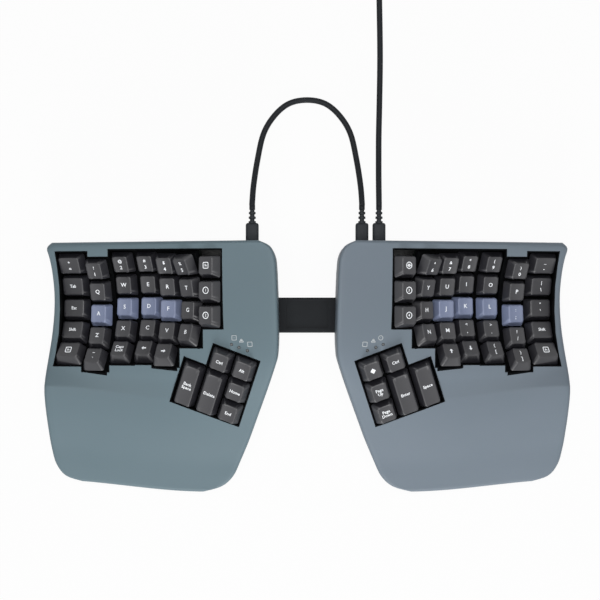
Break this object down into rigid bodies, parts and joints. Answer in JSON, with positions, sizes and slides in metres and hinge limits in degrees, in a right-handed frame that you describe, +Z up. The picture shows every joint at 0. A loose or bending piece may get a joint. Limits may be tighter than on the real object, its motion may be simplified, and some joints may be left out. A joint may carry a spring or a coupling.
{
  "type": "split ergonomic keyboard",
  "caption": "Tented split keyboard with contoured finger wells, angled thumb clusters, palm rests, a joining bridge, fold-out tent feet and USB cables.",
  "frame": {"origin": "centre of the two modules' footprint, on the table under the rubber feet", "axes": "+X to the user's right, +Y away from the user, +Z up"},
  "size_m": [0.4218, 0.6148, 0.0715],
  "materials": {
    "left_shell": "satin",
    "right_shell": "satin",
    "black_shell": "satin",
    "key_grey": "satin",
    "key_accent": "satin",
    "board": "semi-gloss",
    "steel": "satin",
    "rubber": "matte",
    "light_pipe": "gloss",
    "foot_grey": "matte",
    "button_grey": "matte",
    "bridge": "satin",
    "cable_jacket": "matte",
    "plug": "satin"
  },
  "bodies": {
    "keyboard": {"left_top_case": "left_shell", "right_top_case": "right_shell", "left_base": "black_shell", "right_base": "black_shell", "left_key_well": "black_shell", "right_key_well": "black_shell", "left_thumb_well": "black_shell", "right_thumb_well": "black_shell", "switch_housings": "black_shell", "circuit_boards": "board", "case_screws": "steel", "rubber_feet": "rubber", "usb_sockets": "steel", "indicator_lights": "light_pipe", "bridge_plate": "bridge", "link_cable": "cable_jacket", "usb_cable": "cable_jacket", "usb_cable_coil": "cable_jacket", "cable_plugs": "plug", "cable_tie": "plug"},
    "left_number_row": {"left_number_row": "key_grey"},
    "left_upper_row": {"left_upper_row": "key_grey"},
    "left_home_row": {"left_home_edge": "key_grey", "left_home_row": "key_accent"},
    "left_lower_row": {"left_lower_row": "key_grey"},
    "left_bottom_row": {"left_bottom_row": "key_grey"},
    "left_reach_1": {"left_reach_1": "key_grey"},
    "left_reach_2": {"left_reach_2": "key_grey"},
    "left_reach_3": {"left_reach_3": "key_grey"},
    "left_reach_4": {"left_reach_4": "key_grey"},
    "left_inner_bank": {"left_inner_bank": "key_grey"},
    "left_thumb_1": {"left_thumb_1": "key_grey"},
    "left_thumb_2": {"left_thumb_2": "key_grey"},
    "left_thumb_3": {"left_thumb_3": "key_grey"},
    "left_thumb_4": {"left_thumb_4": "key_grey"},
    "left_thumb_5": {"left_thumb_5": "key_grey"},
    "left_thumb_6": {"left_thumb_6": "key_grey"},
    "left_mid_foot": {"left_mid_foot": "foot_grey"},
    "left_high_foot": {"left_high_foot": "foot_grey"},
    "left_foot_button": {"left_foot_button": "button_grey"},
    "right_number_row": {"right_number_row": "key_grey"},
    "right_upper_row": {"right_upper_row": "key_grey"},
    "right_home_row": {"right_home_edge": "key_grey", "right_home_row": "key_accent"},
    "right_lower_row": {"right_lower_row": "key_grey"},
    "right_bottom_row": {"right_bottom_row": "key_grey"},
    "right_reach_1": {"right_reach_1": "key_grey"},
    "right_reach_2": {"right_reach_2": "key_grey"},
    "right_reach_3": {"right_reach_3": "key_grey"},
    "right_reach_4": {"right_reach_4": "key_grey"},
    "right_inner_bank": {"right_inner_bank": "key_grey"},
    "right_thumb_1": {"right_thumb_1": "key_grey"},
    "right_thumb_2": {"right_thumb_2": "key_grey"},
    "right_thumb_3": {"right_thumb_3": "key_grey"},
    "right_thumb_4": {"right_thumb_4": "key_grey"},
    "right_thumb_5": {"right_thumb_5": "key_grey"},
    "right_thumb_6": {"right_thumb_6": "key_grey"},
    "right_mid_foot": {"right_mid_foot": "foot_grey"},
    "right_high_foot": {"right_high_foot": "foot_grey"},
    "right_foot_button": {"right_foot_button": "button_grey"}
  },
  "joints": [
    {"name": "left_number_row_press", "type": "slide", "parent": "keyboard", "child": "left_number_row", "axis": [0.2579, 0.471, -0.8436], "range_m": [0, 0.004], "stiffness_N_per_m": 500, "springref_m": -0.003},
    {"name": "left_upper_row_press", "type": "slide", "parent": "keyboard", "child": "left_upper_row", "axis": [0.2852, 0.2198, -0.9329], "range_m": [0, 0.004], "stiffness_N_per_m": 500, "springref_m": -0.003},
    {"name": "left_home_row_press", "type": "slide", "parent": "keyboard", "child": "left_home_row", "axis": [0.292, -0.0471, -0.9552], "range_m": [0, 0.004], "stiffness_N_per_m": 500, "springref_m": -0.003},
    {"name": "left_lower_row_press", "type": "slide", "parent": "keyboard", "child": "left_lower_row", "axis": [0.2779, -0.3107, -0.909], "range_m": [0, 0.004], "stiffness_N_per_m": 500, "springref_m": -0.003},
    {"name": "left_bottom_row_press", "type": "slide", "parent": "keyboard", "child": "left_bottom_row", "axis": [0.2438, -0.5519, -0.7974], "range_m": [0, 0.004], "stiffness_N_per_m": 500, "springref_m": -0.003},
    {"name": "left_reach_1_press", "type": "slide", "parent": "keyboard", "child": "left_reach_1", "axis": [0.506, 0.471, -0.7226], "range_m": [0, 0.004], "stiffness_N_per_m": 100, "springref_m": -0.003},
    {"name": "left_reach_2_press", "type": "slide", "parent": "keyboard", "child": "left_reach_2", "axis": [0.5595, 0.2198, -0.7991], "range_m": [0, 0.004], "stiffness_N_per_m": 100, "springref_m": -0.003},
    {"name": "left_reach_3_press", "type": "slide", "parent": "keyboard", "child": "left_reach_3", "axis": [0.5729, -0.0471, -0.8182], "range_m": [0, 0.004], "stiffness_N_per_m": 100, "springref_m": -0.003},
    {"name": "left_reach_4_press", "type": "slide", "parent": "keyboard", "child": "left_reach_4", "axis": [0.5452, -0.3107, -0.7786], "range_m": [0, 0.004], "stiffness_N_per_m": 100, "springref_m": -0.003},
    {"name": "left_inner_bank_press", "type": "slide", "parent": "keyboard", "child": "left_inner_bank", "axis": [0.5, 0, -0.866], "range_m": [0, 0.004], "stiffness_N_per_m": 300, "springref_m": -0.003},
    {"name": "left_thumb_1_press", "type": "slide", "parent": "keyboard", "child": "left_thumb_1", "axis": [0.2091, 0.2517, -0.9449], "range_m": [0, 0.004], "stiffness_N_per_m": 100, "springref_m": -0.003},
    {"name": "left_thumb_2_press", "type": "slide", "parent": "keyboard", "child": "left_thumb_2", "axis": [0.2091, 0.2517, -0.9449], "range_m": [0, 0.004], "stiffness_N_per_m": 100, "springref_m": -0.003},
    {"name": "left_thumb_3_press", "type": "slide", "parent": "keyboard", "child": "left_thumb_3", "axis": [0.2091, 0.2517, -0.9449], "range_m": [0, 0.004], "stiffness_N_per_m": 100, "springref_m": -0.003},
    {"name": "left_thumb_4_press", "type": "slide", "parent": "keyboard", "child": "left_thumb_4", "axis": [0.2091, 0.2517, -0.9449], "range_m": [0, 0.004], "stiffness_N_per_m": 100, "springref_m": -0.003},
    {"name": "left_thumb_5_press", "type": "slide", "parent": "keyboard", "child": "left_thumb_5", "axis": [0.2091, 0.2517, -0.9449], "range_m": [0, 0.004], "stiffness_N_per_m": 100, "springref_m": -0.003},
    {"name": "left_thumb_6_press", "type": "slide", "parent": "keyboard", "child": "left_thumb_6", "axis": [0.2091, 0.2517, -0.9449], "range_m": [0, 0.004], "stiffness_N_per_m": 100, "springref_m": -0.003},
    {"name": "left_mid_foot_fold", "type": "hinge", "parent": "keyboard", "child": "left_mid_foot", "pos_m": [-0.031, 0.071, 0.0032], "axis": [0, -1, 0], "range_deg": [0, 100]},
    {"name": "left_high_foot_fold", "type": "hinge", "parent": "keyboard", "child": "left_high_foot", "pos_m": [-0.031, 0.035, 0.0032], "axis": [0, -1, 0], "range_deg": [0, 100]},
    {"name": "left_foot_button_slide", "type": "slide", "parent": "keyboard", "child": "left_foot_button", "axis": [1, 0, 0], "range_m": [0, 0.0015], "stiffness_N_per_m": 300, "springref_m": -0.001},
    {"name": "right_number_row_press", "type": "slide", "parent": "keyboard", "child": "right_number_row", "axis": [-0.2579, 0.471, -0.8436], "range_m": [0, 0.004], "stiffness_N_per_m": 500, "springref_m": -0.003},
    {"name": "right_upper_row_press", "type": "slide", "parent": "keyboard", "child": "right_upper_row", "axis": [-0.2852, 0.2198, -0.9329], "range_m": [0, 0.004], "stiffness_N_per_m": 500, "springref_m": -0.003},
    {"name": "right_home_row_press", "type": "slide", "parent": "keyboard", "child": "right_home_row", "axis": [-0.292, -0.0471, -0.9552], "range_m": [0, 0.004], "stiffness_N_per_m": 500, "springref_m": -0.003},
    {"name": "right_lower_row_press", "type": "slide", "parent": "keyboard", "child": "right_lower_row", "axis": [-0.2779, -0.3107, -0.909], "range_m": [0, 0.004], "stiffness_N_per_m": 500, "springref_m": -0.003},
    {"name": "right_bottom_row_press", "type": "slide", "parent": "keyboard", "child": "right_bottom_row", "axis": [-0.2438, -0.5519, -0.7974], "range_m": [0, 0.004], "stiffness_N_per_m": 500, "springref_m": -0.003},
    {"name": "right_reach_1_press", "type": "slide", "parent": "keyboard", "child": "right_reach_1", "axis": [-0.506, 0.471, -0.7226], "range_m": [0, 0.004], "stiffness_N_per_m": 100, "springref_m": -0.003},
    {"name": "right_reach_2_press", "type": "slide", "parent": "keyboard", "child": "right_reach_2", "axis": [-0.5595, 0.2198, -0.7991], "range_m": [0, 0.004], "stiffness_N_per_m": 100, "springref_m": -0.003},
    {"name": "right_reach_3_press", "type": "slide", "parent": "keyboard", "child": "right_reach_3", "axis": [-0.5729, -0.0471, -0.8182], "range_m": [0, 0.004], "stiffness_N_per_m": 100, "springref_m": -0.003},
    {"name": "right_reach_4_press", "type": "slide", "parent": "keyboard", "child": "right_reach_4", "axis": [-0.5452, -0.3107, -0.7786], "range_m": [0, 0.004], "stiffness_N_per_m": 100, "springref_m": -0.003},
    {"name": "right_inner_bank_press", "type": "slide", "parent": "keyboard", "child": "right_inner_bank", "axis": [-0.5, 0, -0.866], "range_m": [0, 0.004], "stiffness_N_per_m": 300, "springref_m": -0.003},
    {"name": "right_thumb_1_press", "type": "slide", "parent": "keyboard", "child": "right_thumb_1", "axis": [-0.2091, 0.2517, -0.9449], "range_m": [0, 0.004], "stiffness_N_per_m": 100, "springref_m": -0.003},
    {"name": "right_thumb_2_press", "type": "slide", "parent": "keyboard", "child": "right_thumb_2", "axis": [-0.2091, 0.2517, -0.9449], "range_m": [0, 0.004], "stiffness_N_per_m": 100, "springref_m": -0.003},
    {"name": "right_thumb_3_press", "type": "slide", "parent": "keyboard", "child": "right_thumb_3", "axis": [-0.2091, 0.2517, -0.9449], "range_m": [0, 0.004], "stiffness_N_per_m": 100, "springref_m": -0.003},
    {"name": "right_thumb_4_press", "type": "slide", "parent": "keyboard", "child": "right_thumb_4", "axis": [-0.2091, 0.2517, -0.9449], "range_m": [0, 0.004], "stiffness_N_per_m": 100, "springref_m": -0.003},
    {"name": "right_thumb_5_press", "type": "slide", "parent": "keyboard", "child": "right_thumb_5", "axis": [-0.2091, 0.2517, -0.9449], "range_m": [0, 0.004], "stiffness_N_per_m": 100, "springref_m": -0.003},
    {"name": "right_thumb_6_press", "type": "slide", "parent": "keyboard", "child": "right_thumb_6", "axis": [-0.2091, 0.2517, -0.9449], "range_m": [0, 0.004], "stiffness_N_per_m": 100, "springref_m": -0.003},
    {"name": "right_mid_foot_fold", "type": "hinge", "parent": "keyboard", "child": "right_mid_foot", "pos_m": [0.031, 0.071, 0.0032], "axis": [0, 1, 0], "range_deg": [0, 100]},
    {"name": "right_high_foot_fold", "type": "hinge", "parent": "keyboard", "child": "right_high_foot", "pos_m": [0.031, 0.035, 0.0032], "axis": [0, 1, 0], "range_deg": [0, 100]},
    {"name": "right_foot_button_slide", "type": "slide", "parent": "keyboard", "child": "right_foot_button", "axis": [-1, 0, 0], "range_m": [0, 0.0015], "stiffness_N_per_m": 300, "springref_m": -0.001}
  ]
}
